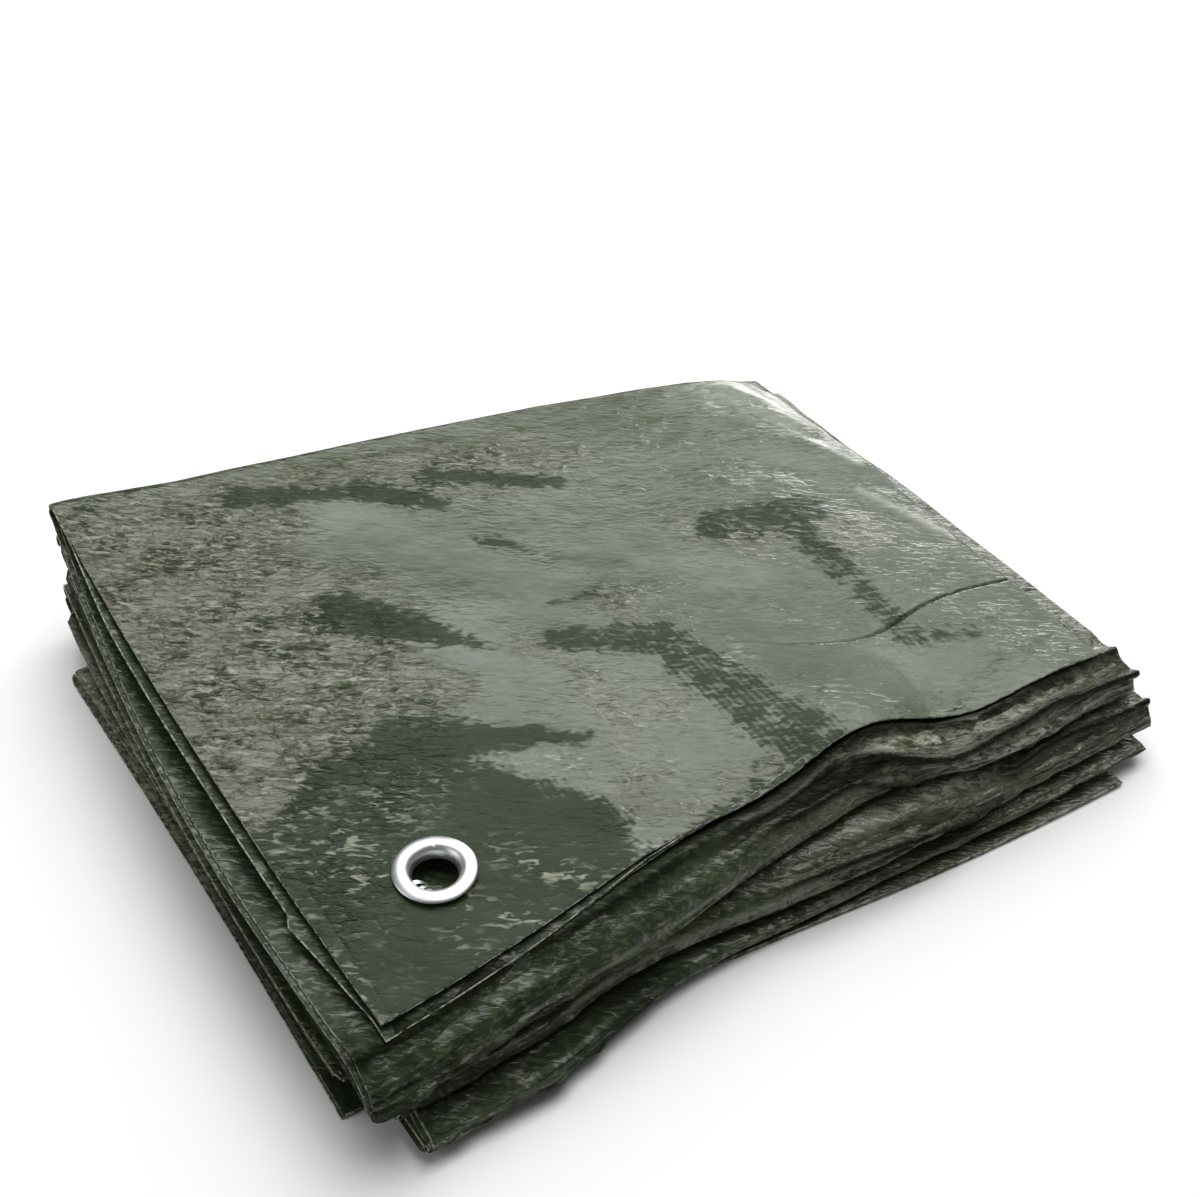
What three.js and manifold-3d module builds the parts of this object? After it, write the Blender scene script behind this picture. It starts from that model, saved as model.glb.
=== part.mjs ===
import * as THREE from 'three';
import { mergeVertices } from 'three/addons/utils/BufferGeometryUtils.js';
import Module from 'manifold-3d';

// A tent groundsheet of coated woven tape, folded lengthwise into a strip and the strip folded
// back and forth into a flat pack, with one aluminium eyelet in the hem of its top layer.
// Millimetres, +Z up. Plan measures run from the centre of the eyelet: +X along the front edge,
// +Y to the back. Heights run from the surface that the pack lies on. The last lines stand the
// whole pack with the middle of its underside at the origin.

const wasm = await Module();
wasm.setup();

const LAYERS = 12;
const THICKNESS = 1.6;
const CLEARANCE = 0.33;
const MERGE_DISTANCE = 1e-3;

// The top panel's edges in plan, and the height of its top face at each corner.
const PANEL = { left: -36, right: 218, front: -35, back: 192 };
const TOP = { frontLeft: 37, frontRight: 36, backLeft: 50, backRight: 25 };

// Swells and dips in the top face. They die away layer by layer down to the flat underside.
const SWELLS = [
  { x: 132, y: -14, radius: 24, height: 5 },
  { x: 166, y: -22, radius: 18, height: -3.5 },
  { x: 62, y: 70, radius: 45, height: 1.5 },
];

// The top layer stands off from the ones below it, most at the middle of its left edge.
const LIFT = { x: -36, y: 70, reachX: 45, reachY: 85, height: 6 };

// How much the layers are pressed together beyond the front line and towards the right side.
const PRESS = {
  front: { from: -30, to: -56, share: 0.16 },
  right: { from: 190, to: 236, share: 0.08 },
};

// One row for each run of the strip, in the order it runs: its level, counted down from the top,
// and how far its left and right side edges bow outwards half-way.
const RUNS = [
  { level: 1, bowLeft: 3, bowRight: 2 },
  { level: 2, bowLeft: 7, bowRight: 3 },
  { level: 5, bowLeft: 3, bowRight: 2 },
  { level: 4, bowLeft: 3, bowRight: 3 },
  { level: 3, bowLeft: 4, bowRight: 2 },
  { level: 6, bowLeft: 4, bowRight: 1 },
  { level: 9, bowLeft: 5, bowRight: 3 },
  { level: 8, bowLeft: 3, bowRight: 2 },
  { level: 7, bowLeft: 4, bowRight: 1 },
  { level: 10, bowLeft: 5, bowRight: 2 },
  { level: 11, bowLeft: 2, bowRight: 1 },
  { level: 12, bowLeft: -1.5, bowRight: 2 },
];

// A fold's section: its depth on each side of its furthest line, as shares of its height, and the
// share of its height above that line. A close fold joins neighbours. A wrap goes round two more
// layers, sags, and has its crease low down.
const CLOSE = { upper: 0.5, lower: 0.5, crease: 0.5, steps: 2 };
const WRAP = { upper: 0.5, lower: 0.5, crease: 0.5, steps: 4 };
const SOFT_WRAP = { upper: 1.3, lower: 0.3, crease: 0.76, steps: 4 };
const FIRM_WRAP = { upper: 1.1, lower: 0.35, crease: 0.7, steps: 4 };

// One row for each fold between two runs, with a free end before the first and after the last.
// y is the fold's furthest line at seven even places from the panel's left edge to its right one,
// and left and right are where the strip's side edges pass it.
const FOLDS = [
  { y: [-35.5, -31.5, -25, -22.5, -18.5, -25.5, -26.5], left: -34.5, right: 219, shape: CLOSE },
  { y: [195, 190, 187, 183, 178, 171, 159], left: -38.5, right: 218, shape: CLOSE },
  { y: [-49, -44.5, -41, -35, -32, -38, -36], left: -45, right: 228, shape: SOFT_WRAP },
  { y: [181, 176, 172, 168, 163, 157, 147], left: -42, right: 221, shape: CLOSE },
  { y: [-34, -30, -27, -21, -19, -24, -22], left: -43, right: 224, shape: CLOSE },
  { y: [193, 188, 182, 178, 174, 165, 155], left: -44, right: 225, shape: WRAP },
  { y: [-46, -44, -39.5, -43, -44.5, -43.5, -43], left: -39, right: 231, shape: FIRM_WRAP },
  { y: [179, 174, 171, 165, 162, 154, 145], left: -45, right: 228, shape: CLOSE },
  { y: [-31, -30, -27, -29, -30, -29, -28], left: -50, right: 229, shape: CLOSE },
  { y: [189, 184, 182, 176, 172, 166, 153], left: -45, right: 227, shape: WRAP },
  { y: [-54.5, -51, -44.5, -45, -46, -47, -46.5], left: -36, right: 226, shape: CLOSE },
  { y: [164, 175, 178, 176, 171, 162, 150], left: -52, right: 221, shape: CLOSE },
  { y: [-33, -38, -42, -45.5, -49.5, -51.5, -52], left: -47, right: 213, shape: CLOSE },
];

// The seam of the end hem, its gap, and the lines across the strip that every run shares behind it.
const SEAM_Y = 18.5;
const SEAM_GAP = 0.44;
const LINES_BEFORE_SEAM = [-12, 3];
const LINES_BEHIND_SEAM = 6;
const LAST_LINE = { left: 153, right: 133 };

// The columns that every run shares, between its two side edges.
const FIRST_COLUMN = -27;
const LAST_COLUMN = 205;
const COLUMNS = 12;

// The flange is a low dome: it rises from its rim to a crown and rolls over into the barrel.
const EYELET = {
  holeRadius: 7,
  barrelWall: 0.6,
  flangeRadius: 12,
  flangeHeight: 1.5,
  rimHeight: 0.45,
  crownWidth: 1.4,
  rollRadius: 1.4,
  washerRadius: 11.5,
  washerThickness: 0.5,
  drillLength: 10,
  segments: 36,
};

// Degrees round the quarter circle by which the flange rolls over into the barrel.
const ROLL_ANGLES = [0, 30, 60, 90];

const coatedTape = new THREE.MeshStandardMaterial({ color: 0x475242, roughness: 0.45, metalness: 0 });
const aluminium = new THREE.MeshStandardMaterial({ color: 0xd9dbdc, roughness: 0.3, metalness: 1 });

const mix = THREE.MathUtils.lerp;
const share = (value, from, to) => (value - from) / (to - from);
const ease = (value, from, to) => THREE.MathUtils.smoothstep(share(value, from, to), 0, 1);

// The height of the pack's top face at a place in plan.
function topHeight(x, y) {
  const u = share(x, PANEL.left, PANEL.right);
  const v = share(y, PANEL.front, PANEL.back);
  const front = mix(TOP.frontLeft, TOP.frontRight, u);
  const back = mix(TOP.backLeft, TOP.backRight, u);
  let height = mix(front, back, v);
  for (const swell of SWELLS) {
    const distance = Math.hypot(x - swell.x, y - swell.y) / swell.radius;
    height += swell.height * Math.exp(-distance * distance);
  }
  height *= 1 - PRESS.front.share * ease(y, PRESS.front.from, PRESS.front.to);
  height *= 1 - PRESS.right.share * ease(x, PRESS.right.from, PRESS.right.to);
  return height;
}

function liftHeight(x, y) {
  const across = (x - LIFT.x) / LIFT.reachX;
  const along = (y - LIFT.y) / LIFT.reachY;
  return LIFT.height * Math.exp(-across * across - along * along);
}

// The distance from one level to the next, and the middle of the sheet at a level.
function pitch(x, y) {
  return (topHeight(x, y) - THICKNESS - liftHeight(x, y)) / (LAYERS - 1);
}

function middle(x, y, level) {
  const lift = liftHeight(x, y) * Math.max(2 - level, 0);
  return new THREE.Vector3(x, y, THICKNESS / 2 + (LAYERS - level) * pitch(x, y) + lift);
}

// A smooth curve through evenly spaced values, at a place from 0 to 1 along them.
function throughValues(values, place) {
  const scaled = THREE.MathUtils.clamp(place, 0, 1) * (values.length - 1);
  const index = Math.min(Math.floor(scaled), values.length - 2);
  const t = scaled - index;
  const at = (offset) => values[THREE.MathUtils.clamp(index + offset, 0, values.length - 1)];
  const [before, from, to, after] = [at(-1), at(0), at(1), at(2)];
  const slopeFrom = (to - before) / 2;
  const slopeTo = (after - from) / 2;
  const swing = (from - to) * (2 * t ** 3 - 3 * t ** 2) + from;
  return swing + slopeFrom * (t ** 3 - 2 * t ** 2 + t) + slopeTo * (t ** 3 - t ** 2);
}

// The furthest line of a fold at a place across.
function foldLine(fold, x) {
  return throughValues(fold.y, share(x, PANEL.left, PANEL.right));
}

// The line across the strip with a number: before the seam, at it or behind it.
function sharedLine(number, x) {
  if (number < LINES_BEFORE_SEAM.length) return LINES_BEFORE_SEAM[number];
  const behind = (number - LINES_BEFORE_SEAM.length) / LINES_BEHIND_SEAM;
  const last = mix(LAST_LINE.left, LAST_LINE.right, share(x, PANEL.left, PANEL.right));
  return mix(SEAM_Y, last, behind);
}

const SEAM_LINE = LINES_BEFORE_SEAM.length;
const SHARED_LINES = [...Array(SEAM_LINE + LINES_BEHIND_SEAM + 1).keys()];

// The first run goes from front to back, the next one back again, and so on.
const isForwards = (run) => run % 2 === 0;

// The fold's depth inwards from its furthest line, and its level, at a step round it. The quarter
// above the crease and the quarter below it are each an ellipse.
function foldStep(fold, x, fromLevel, toLevel, turn) {
  const { upper, lower, crease } = fold.shape;
  const levels = Math.abs(toLevel - fromLevel);
  const height = levels * pitch(x, foldLine(fold, x));
  const angle = fromLevel < toLevel ? turn : Math.PI - turn;
  const isUpper = angle < Math.PI / 2;
  const depth = (isUpper ? upper : lower) * height * (1 - Math.sin(angle));
  const reach = isUpper ? crease : 1 - crease;
  const creaseLevel = Math.min(fromLevel, toLevel) + crease * levels;
  return { depth, level: creaseLevel - reach * levels * Math.cos(angle) };
}

// A row of the strip says which run it is on, and at which level and y it lies at any x.
function rowsAcrossRun(run, lines) {
  const ordered = isForwards(run) ? lines : [...lines].reverse();
  return ordered.map((line) => ({ run, level: () => RUNS[run].level, y: (x) => sharedLine(line, x) }));
}

function rowAtEnd(run, y) {
  return { run, level: () => RUNS[run].level, y };
}

// The rows round the fold between a run and the next.
function rowsRoundFold(run) {
  const fold = FOLDS[run + 1];
  const inwards = isForwards(run) ? -1 : 1;
  const steps = 2 * fold.shape.steps;
  return [...Array(steps + 1).keys()].map((step) => {
    const at = (x) => foldStep(fold, x, RUNS[run].level, RUNS[run + 1].level, (Math.PI * step) / steps);
    return {
      run: step <= steps / 2 ? run : run + 1,
      level: (x) => at(x).level,
      y: (x) => foldLine(fold, x) + inwards * at(x).depth,
    };
  });
}

// The end hem runs from the strip's free end to its seam, on the first run.
function hemRows() {
  const lines = SHARED_LINES.slice(0, SEAM_LINE);
  const freeEnd = rowAtEnd(0, (x) => foldLine(FOLDS[0], x));
  return [freeEnd, ...rowsAcrossRun(0, lines), rowAtEnd(0, () => SEAM_Y - SEAM_GAP / 2)];
}

// The rest of the strip, from the seam through every run and fold to its other free end.
function sheetRows() {
  const rows = [rowAtEnd(0, () => SEAM_Y + SEAM_GAP / 2)];
  rows.push(...rowsAcrossRun(0, SHARED_LINES.slice(SEAM_LINE + 1)));
  for (let run = 1; run < LAYERS; run += 1) {
    rows.push(...rowsRoundFold(run - 1), ...rowsAcrossRun(run, SHARED_LINES));
  }
  return [...rows, rowAtEnd(LAYERS - 1, (x) => foldLine(FOLDS[LAYERS], x))];
}

// The strip's side edges where a run passes a place: straight from fold to fold, with a bow.
function sideEdge(run, side, y) {
  const sign = side === 'left' ? -1 : 1;
  const bow = side === 'left' ? RUNS[run].bowLeft : RUNS[run].bowRight;
  const front = FOLDS[isForwards(run) ? run : run + 1];
  const back = FOLDS[isForwards(run) ? run + 1 : run];
  const v = THREE.MathUtils.clamp(share(y, PANEL.front, PANEL.back), 0, 1);
  return mix(front[side], back[side], v) + sign * bow * 4 * v * (1 - v);
}

function columnPlace(row, column) {
  if (column === 0) return sideEdge(row.run, 'left', row.y(PANEL.left));
  if (column === COLUMNS) return sideEdge(row.run, 'right', row.y(PANEL.right));
  return mix(FIRST_COLUMN, LAST_COLUMN, (column - 1) / (COLUMNS - 2));
}

function middlePoint(row, column) {
  const x = columnPlace(row, column);
  return middle(x, row.y(x), row.level(x));
}

// Bends a flat box, with a row of faces for each step along the strip, round the rows' middles.
function bendStrip(rows) {
  const steps = rows.length - 1;
  const columns = [...Array(COLUMNS + 1).keys()];
  const points = rows.map((row) => columns.map((column) => middlePoint(row, column)));
  const normalAt = (step, column) => {
    const before = points[Math.max(step - 1, 0)][column];
    const after = points[Math.min(step + 1, steps)][column];
    const left = points[step][Math.max(column - 1, 0)];
    const right = points[step][Math.min(column + 1, COLUMNS)];
    const across = new THREE.Vector3().subVectors(right, left);
    const along = new THREE.Vector3().subVectors(after, before);
    return across.cross(along).normalize();
  };
  const geometry = new THREE.BoxGeometry(1, 1, 1, COLUMNS, steps, 1);
  const position = geometry.getAttribute('position');
  for (let index = 0; index < position.count; index += 1) {
    const column = Math.round((position.getX(index) + 0.5) * COLUMNS);
    const step = Math.round((position.getY(index) + 0.5) * steps);
    const offset = position.getZ(index) * THICKNESS;
    const point = points[step][column].clone().addScaledVector(normalAt(step, column), offset);
    position.setXYZ(index, point.x, point.y, point.z);
  }
  geometry.computeVertexNormals();
  return geometry;
}

function toSolid(geometry) {
  const bare = geometry.clone();
  bare.deleteAttribute('normal');
  bare.deleteAttribute('uv');
  const merged = mergeVertices(bare, MERGE_DISTANCE);
  return new wasm.Manifold(new wasm.Mesh({
    numProp: 3,
    vertProperties: new Float32Array(merged.getAttribute('position').array),
    triVerts: new Uint32Array(merged.getIndex().array),
  }));
}

function toGeometry(solid) {
  const { vertProperties, triVerts } = solid.getMesh();
  const geometry = new THREE.BufferGeometry();
  geometry.setAttribute('position', new THREE.BufferAttribute(vertProperties, 3));
  geometry.setIndex(new THREE.BufferAttribute(triVerts, 1));
  geometry.computeVertexNormals();
  return geometry;
}

// The eyelet sits square to the top layer, whose slope is measured across its flange.
function eyeletPlace() {
  const reach = EYELET.flangeRadius;
  const across = middle(reach, 0, 1).sub(middle(-reach, 0, 1));
  const along = middle(0, reach, 1).sub(middle(0, -reach, 1));
  const normal = across.cross(along).normalize();
  const turn = new THREE.Quaternion().setFromUnitVectors(new THREE.Vector3(0, 0, 1), normal);
  return new THREE.Matrix4().compose(middle(0, 0, 1), turn, new THREE.Vector3(1, 1, 1));
}

// A ring turned about the eyelet's axis from a closed profile of [radius, height] corners.
function turnRing(profile) {
  const corners = [...profile, profile[0]].map(([radius, height]) => new THREE.Vector2(radius, height));
  const geometry = new THREE.LatheGeometry(corners, EYELET.segments);
  geometry.rotateX(Math.PI / 2);
  return geometry.applyMatrix4(eyeletPlace());
}

function eyeletBarrel() {
  const seat = THICKNESS / 2 + CLEARANCE;
  const foot = -seat - EYELET.washerThickness;
  const { holeRadius, rollRadius, crownWidth, flangeRadius } = EYELET;
  const top = seat + EYELET.flangeHeight;
  const roll = ROLL_ANGLES.map(THREE.MathUtils.degToRad).map((angle) => [
    holeRadius + rollRadius * (1 - Math.sin(angle)),
    top - rollRadius * (1 - Math.cos(angle)),
  ]);
  return turnRing([
    [holeRadius, foot],
    [holeRadius + EYELET.barrelWall, foot],
    [holeRadius + EYELET.barrelWall, seat],
    [flangeRadius, seat],
    [flangeRadius, seat + EYELET.rimHeight],
    [holeRadius + rollRadius + crownWidth, top],
    ...roll,
  ]);
}

function eyeletWasher() {
  const seat = -(THICKNESS / 2 + CLEARANCE);
  const inner = EYELET.holeRadius + EYELET.barrelWall + CLEARANCE;
  return turnRing([
    [inner, seat - EYELET.washerThickness],
    [EYELET.washerRadius, seat - EYELET.washerThickness],
    [EYELET.washerRadius, seat],
    [inner, seat],
  ]);
}

// The end hem with the hole for the barrel. The flats of the drill clear the barrel too.
function eyeletHem() {
  const clearRadius = EYELET.holeRadius + EYELET.barrelWall + CLEARANCE;
  const radius = clearRadius / Math.cos(Math.PI / EYELET.segments);
  const drill = new THREE.CylinderGeometry(radius, radius, EYELET.drillLength, EYELET.segments);
  drill.rotateX(Math.PI / 2);
  drill.applyMatrix4(eyeletPlace());
  return toGeometry(toSolid(bendStrip(hemRows())).subtract(toSolid(drill)));
}

const pack = new THREE.Group();

function addPiece(name, geometry, material) {
  const piece = new THREE.Mesh(geometry, material);
  piece.name = name;
  pack.add(piece);
}

addPiece('groundsheet', bendStrip(sheetRows()), coatedTape);
addPiece('eyelet_hem', eyeletHem(), coatedTape);
addPiece('eyelet', eyeletBarrel(), aluminium);
addPiece('eyelet_washer', eyeletWasher(), aluminium);

const bounds = new THREE.Box3().setFromObject(pack);
const centre = bounds.getCenter(new THREE.Vector3());
pack.position.set(-centre.x, -centre.y, -bounds.min.z);

export default pack;
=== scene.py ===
import math

import bmesh
import bpy
import numpy as np
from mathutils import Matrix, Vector, noise


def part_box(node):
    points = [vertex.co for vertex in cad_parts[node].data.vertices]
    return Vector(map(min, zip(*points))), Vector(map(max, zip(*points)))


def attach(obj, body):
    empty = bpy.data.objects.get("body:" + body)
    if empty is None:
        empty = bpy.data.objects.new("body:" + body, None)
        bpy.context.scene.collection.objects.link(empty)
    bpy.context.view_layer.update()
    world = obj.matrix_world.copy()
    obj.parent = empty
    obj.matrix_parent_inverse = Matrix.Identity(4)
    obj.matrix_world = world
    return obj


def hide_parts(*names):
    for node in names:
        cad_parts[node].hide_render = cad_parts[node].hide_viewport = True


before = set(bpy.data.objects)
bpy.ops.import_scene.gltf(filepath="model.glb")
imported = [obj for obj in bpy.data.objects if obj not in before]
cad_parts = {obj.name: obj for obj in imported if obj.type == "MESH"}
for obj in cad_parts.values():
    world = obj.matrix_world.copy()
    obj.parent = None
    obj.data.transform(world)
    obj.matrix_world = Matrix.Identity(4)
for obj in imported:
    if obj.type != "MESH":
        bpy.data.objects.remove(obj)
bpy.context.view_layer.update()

# A tent groundsheet of coated woven polyethylene tape, folded lengthwise into a strip of four
# plies and the strip folded back and forth into a flat pack. Places on the pack are millimetres:
# x and y from the centre of the eyelet, and height from the floor.

MM = 0.001
LAYERS = 12
LAYER_THICKNESS = 1.6

# The camera, fitted to the eyelet's ellipse and the pack's outline: its place from the eyelet in
# millimetres, the way it looks, its lens on a sensor of that width, and the nearest that it sees.
CAMERA_FROM_EYELET = (-137.335, -310.629, 404.101)
CAMERA_FORWARD = (0.38829, 0.63363, -0.66913)
CAMERA_LENS, CAMERA_SENSOR = 57.0, 36.0
CAMERA_NEAR = 10

# The top panel's edges in plan, and the height of its top face at each corner.
PANEL_LEFT, PANEL_RIGHT = -36.0, 218.0
PANEL_FRONT, PANEL_BACK = -35.0, 192.0
TOP_FRONT_LEFT, TOP_FRONT_RIGHT = 37.0, 36.0
TOP_BACK_LEFT, TOP_BACK_RIGHT = 50.0, 25.0

# Swells and dips in the top face: x, y, radius and height. They die away layer by layer down to the
# flat underside.
SWELLS = [(132, -14, 24, 5), (166, -22, 18, -3.5), (62, 70, 45, 1.5)]

# The top layer stands off from the ones below it, most at the middle of its left edge.
LIFT = {"x": -36, "y": 70, "reach_x": 45, "reach_y": 85, "height": 6}

# How much the layers are pressed together beyond the front line and towards the right side.
PRESS_FRONT = {"start": -30, "end": -56, "share": 0.16}
PRESS_RIGHT = {"start": 190, "end": 236, "share": 0.08}

# One row for each run of the strip, in the order it runs: its level, counted down from the top,
# how far its left and right side edges bow outwards half-way, and how far its left edge is set in.
RUNS = np.array([
    (1, 3, 2, 0.0),
    (2, 7, 3, 0.0),
    (5, 3, 2, 0.5),
    (4, 3, 3, 6.0),
    (3, 4, 2, 5.0),
    (6, 4, 1, 5.5),
    (9, 5, 3, 0.5),
    (8, 3, 2, 6.0),
    (7, 4, 1, 3.5),
    (10, 5, 2, 4.0),
    (11, 2, 1, 1.0),
    (12, -1.5, 2, 0.0),
])
LEVEL, BOW_LEFT, BOW_RIGHT, SET_IN = RUNS.T

# One row for each fold between two runs, with a free end before the first and after the last: its
# furthest line at seven even places from the panel's left edge to its right one, then where the
# strip's left and right side edges pass it.
FOLDS = np.array([
    (-35.5, -31.5, -25, -22.5, -18.5, -25.5, -26.5, -34.5, 219),
    (195, 190, 187, 183, 178, 171, 159, -38.5, 218),
    (-49, -44.5, -41, -35, -32, -38, -36, -45, 228),
    (181, 176, 172, 168, 163, 157, 147, -42, 221),
    (-34, -30, -27, -21, -19, -24, -22, -43, 224),
    (193, 188, 182, 178, 174, 165, 155, -44, 225),
    (-46, -44, -39.5, -43, -44.5, -43.5, -43, -39, 231),
    (179, 174, 171, 165, 162, 154, 145, -45, 228),
    (-31, -30, -27, -29, -30, -29, -28, -50, 229),
    (189, 184, 182, 176, 172, 166, 153, -45, 227),
    (-55.5, -54, -45, -45, -46, -47, -46.5, -36, 226),
    (164, 175, 178, 176, 171, 162, 150, -52, 221),
    (-33, -38, -42, -45.5, -49.5, -51.5, -52, -47, 213),
])
FOLD_LINES, EDGE_LEFT, EDGE_RIGHT = FOLDS[:, :7], FOLDS[:, 7], FOLDS[:, 8]

# A fold's section: its depth above and below its furthest line, as shares of its height, and the
# share of its height above that line. The two front wraps sag, and their crease is low down.
SECTIONS = np.full((len(FOLDS), 3), 0.5)
SECTIONS[2] = 1.3, 0.3, 0.76
SECTIONS[6] = 1.1, 0.35, 0.7
UPPER, LOWER, CREASE = SECTIONS.T

# Lines across the strip that all runs share.
FIRST_LINE = -12.0
LAST_LINE_LEFT, LAST_LINE_RIGHT = 153.0, 133.0
FIRST_COLUMN, LAST_COLUMN = -27.0, 205.0

# The plies in the order that the sheet passes through them, from its first edge: out to the right
# in the upper one, back in the lowest, out again in the next and back to its other edge.
PLY_HEIGHTS = np.array([0.65, -0.6, -0.25, 0.1])


def share(value, start, end):
    return (value - start) / (end - start)


def mix(start, end, amount):
    return start + (end - start) * amount


def ease(value, start, end):
    t = np.clip(share(value, start, end), 0, 1)
    return t * t * (3 - 2 * t)


def bell(distance):
    return np.exp(-distance * distance)


def top_height(x, y):
    """The height of the pack's top face."""
    u = share(x, PANEL_LEFT, PANEL_RIGHT)
    v = share(y, PANEL_FRONT, PANEL_BACK)
    front = mix(TOP_FRONT_LEFT, TOP_FRONT_RIGHT, u)
    back = mix(TOP_BACK_LEFT, TOP_BACK_RIGHT, u)
    height = mix(front, back, v)
    for swell_x, swell_y, radius, swell_height in SWELLS:
        away = np.hypot(x - swell_x, y - swell_y) / radius
        height = height + swell_height * bell(away)
    front_press = PRESS_FRONT["share"] * ease(y, PRESS_FRONT["start"], PRESS_FRONT["end"])
    right_press = PRESS_RIGHT["share"] * ease(x, PRESS_RIGHT["start"], PRESS_RIGHT["end"])
    return height * (1 - front_press) * (1 - right_press)


def lift_height(x, y):
    across = (x - LIFT["x"]) / LIFT["reach_x"]
    along = (y - LIFT["y"]) / LIFT["reach_y"]
    return LIFT["height"] * bell(across) * bell(along)


def layer_pitch(x, y):
    """The distance from one level to the next."""
    return (top_height(x, y) - LAYER_THICKNESS - lift_height(x, y)) / (LAYERS - 1)


def fold_line(fold, x):
    """The furthest line of a fold at a place across, on a smooth curve through its seven places."""
    last = FOLD_LINES.shape[1] - 1
    place = np.clip(share(x, PANEL_LEFT, PANEL_RIGHT), 0, 1) * last
    index = np.minimum(place.astype(int), last - 1)
    t = place - index
    before, start, end, after = (
        FOLD_LINES[fold, np.clip(index + step, 0, last)] for step in (-1, 0, 1, 2)
    )
    slope_start, slope_end = (end - before) / 2, (after - start) / 2
    swing = start + (start - end) * (2 * t**3 - 3 * t**2)
    return swing + slope_start * (t**3 - 2 * t**2 + t) + slope_end * (t**3 - t**2)


def fold_step(fold, x, turn):
    """How far inside the fold's line the sheet is, and at which level, at a turn from 0 to pi."""
    before, after = LEVEL[fold - 1], LEVEL[np.minimum(fold, LAYERS - 1)]
    levels = np.abs(after - before)
    angle = np.where(before < after, turn, np.pi - turn)
    above = angle < np.pi / 2
    tallness = levels * layer_pitch(x, fold_line(fold, x))
    depth = np.where(above, UPPER[fold], LOWER[fold]) * tallness * (1 - np.sin(angle))
    reach = np.where(above, CREASE[fold], 1 - CREASE[fold])
    level = np.minimum(before, after) + CREASE[fold] * levels - reach * levels * np.cos(angle)
    return depth, level


# The strip's own scale: run number r covers 2r to 2r + 1, and the fold after it 2r + 1 to 2r + 2.
# A run is in three stretches, parted where these shares of it meet the first and last shared lines.
FRONT_SHARE, BACK_SHARE = 0.2, 0.85


def along_strip(along, x, front_step=0.0):
    """The y and the level of the strip's middle at a place along its own scale, and the run."""
    part = np.minimum(np.floor(along), 2 * LAYERS - 2).astype(int)
    run = part // 2
    in_fold = part % 2 == 1
    t = along - part
    forwards = run % 2 == 0
    front_fold = np.where(forwards, run, run + 1)
    back_fold = np.where(forwards, run + 1, run)
    front_turn = np.where(forwards, np.pi, 0.0)
    front_depth, _ = fold_step(np.maximum(front_fold, 1), x, front_turn)
    front_depth = np.where((front_fold == 0) | (front_fold == LAYERS), 0.0, front_depth)
    front = fold_line(front_fold, x) + front_depth + np.where(front_fold == 0, front_step, 0.0)
    back_depth, _ = fold_step(np.maximum(back_fold, 1), x, np.pi - front_turn)
    back = fold_line(back_fold, x) - back_depth
    last_line = mix(LAST_LINE_LEFT, LAST_LINE_RIGHT, share(x, PANEL_LEFT, PANEL_RIGHT))
    v = np.where(forwards, t, 1 - t)
    y_run = np.where(
        v < FRONT_SHARE,
        mix(front, FIRST_LINE, v / FRONT_SHARE),
        np.where(
            v < BACK_SHARE,
            mix(FIRST_LINE, last_line, share(v, FRONT_SHARE, BACK_SHARE)),
            mix(last_line, back, share(v, BACK_SHARE, 1.0)),
        ),
    )
    fold = np.minimum(run + 1, LAYERS - 1)
    depth, level_fold = fold_step(fold, x, np.pi * t)
    y_fold = fold_line(fold, x) + np.where(forwards, -depth, depth)
    y = np.where(in_fold, y_fold, y_run)
    level = np.where(in_fold, level_fold, LEVEL[run])
    return y, level, np.where(in_fold & (t > 0.5), run + 1, run)


def side_edges(run, y):
    """Where a run's left and right side edges are."""
    forwards = run % 2 == 0
    front = np.where(forwards, run, run + 1)
    back = np.where(forwards, run + 1, run)
    v = np.clip(share(y, PANEL_FRONT, PANEL_BACK), 0, 1)
    arch = 4 * v * (1 - v)
    left = mix(EDGE_LEFT[front], EDGE_LEFT[back], v) - BOW_LEFT[run] * arch
    right = mix(EDGE_RIGHT[front], EDGE_RIGHT[back], v) + BOW_RIGHT[run] * arch
    return left, right


def strip_middle(along, x, front_step=0.0):
    """A point of the strip's middle surface."""
    y, level, _ = along_strip(along, x, front_step)
    lift = lift_height(x, y) * np.maximum(2 - level, 0)
    z = LAYER_THICKNESS / 2 + (LAYERS - level) * layer_pitch(x, y) + lift
    return np.stack([x, y, z], axis=-1)


# Soft ridges in the top face, left by earlier folds: one end of the crest and the other, how far
# the face falls away on its left and on its right, seen along it, and its height.
RIDGES = [
    ((60, 46), (53, -38), 26, 13, 1.7),
    ((-24, 68), (66, 28), 30, 24, 1.4),
    ((104, 56), (122, -26), 20, 9, 1.2),
    ((76, 68), (116, 46), 22, 10, 1.1),
    ((179, 86), (175, 6), 18, 8, 1.0),
    ((146, 98), (188, 82), 20, 9, 1.1),
    ((12, 122), (62, 68), 26, 13, 1.5),
    ((10, 172), (82, 140), 16, 8, 0.8),
    ((74, 156), (126, 128), 14, 6, 0.7),
    ((190, 184), (228, 60), 7, 9, 1.5),
    ((176, 176), (214, 70), 9, 7, 1.2),
    ((206, 176), (214, 120), 5, 6, 0.7),
    ((199, 164), (216, 134), 6, 4.0, 1.3),
    ((206, 139), (219, 112), 5, 3.8, 1.1),
    ((205, 112), (217, 86), 5, 3.6, 1.0),
    ((216, 112), (221, 82), 5, 4.0, 0.7),
    ((208, 82), (219, 50), 5, 3.6, 1.0),
    ((160, -20), (214, -14), 2.0, 2.0, -0.4),
    ((150, 62), (176, 44), 5, 2.5, 0.45),
    ((128, 66), (150, 56), 5, 2.5, 0.4),
    ((150, 108), (196, 92), 6, 3, 0.4),
    ((88, 96), (120, 78), 7, 3, 0.4),
]
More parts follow.
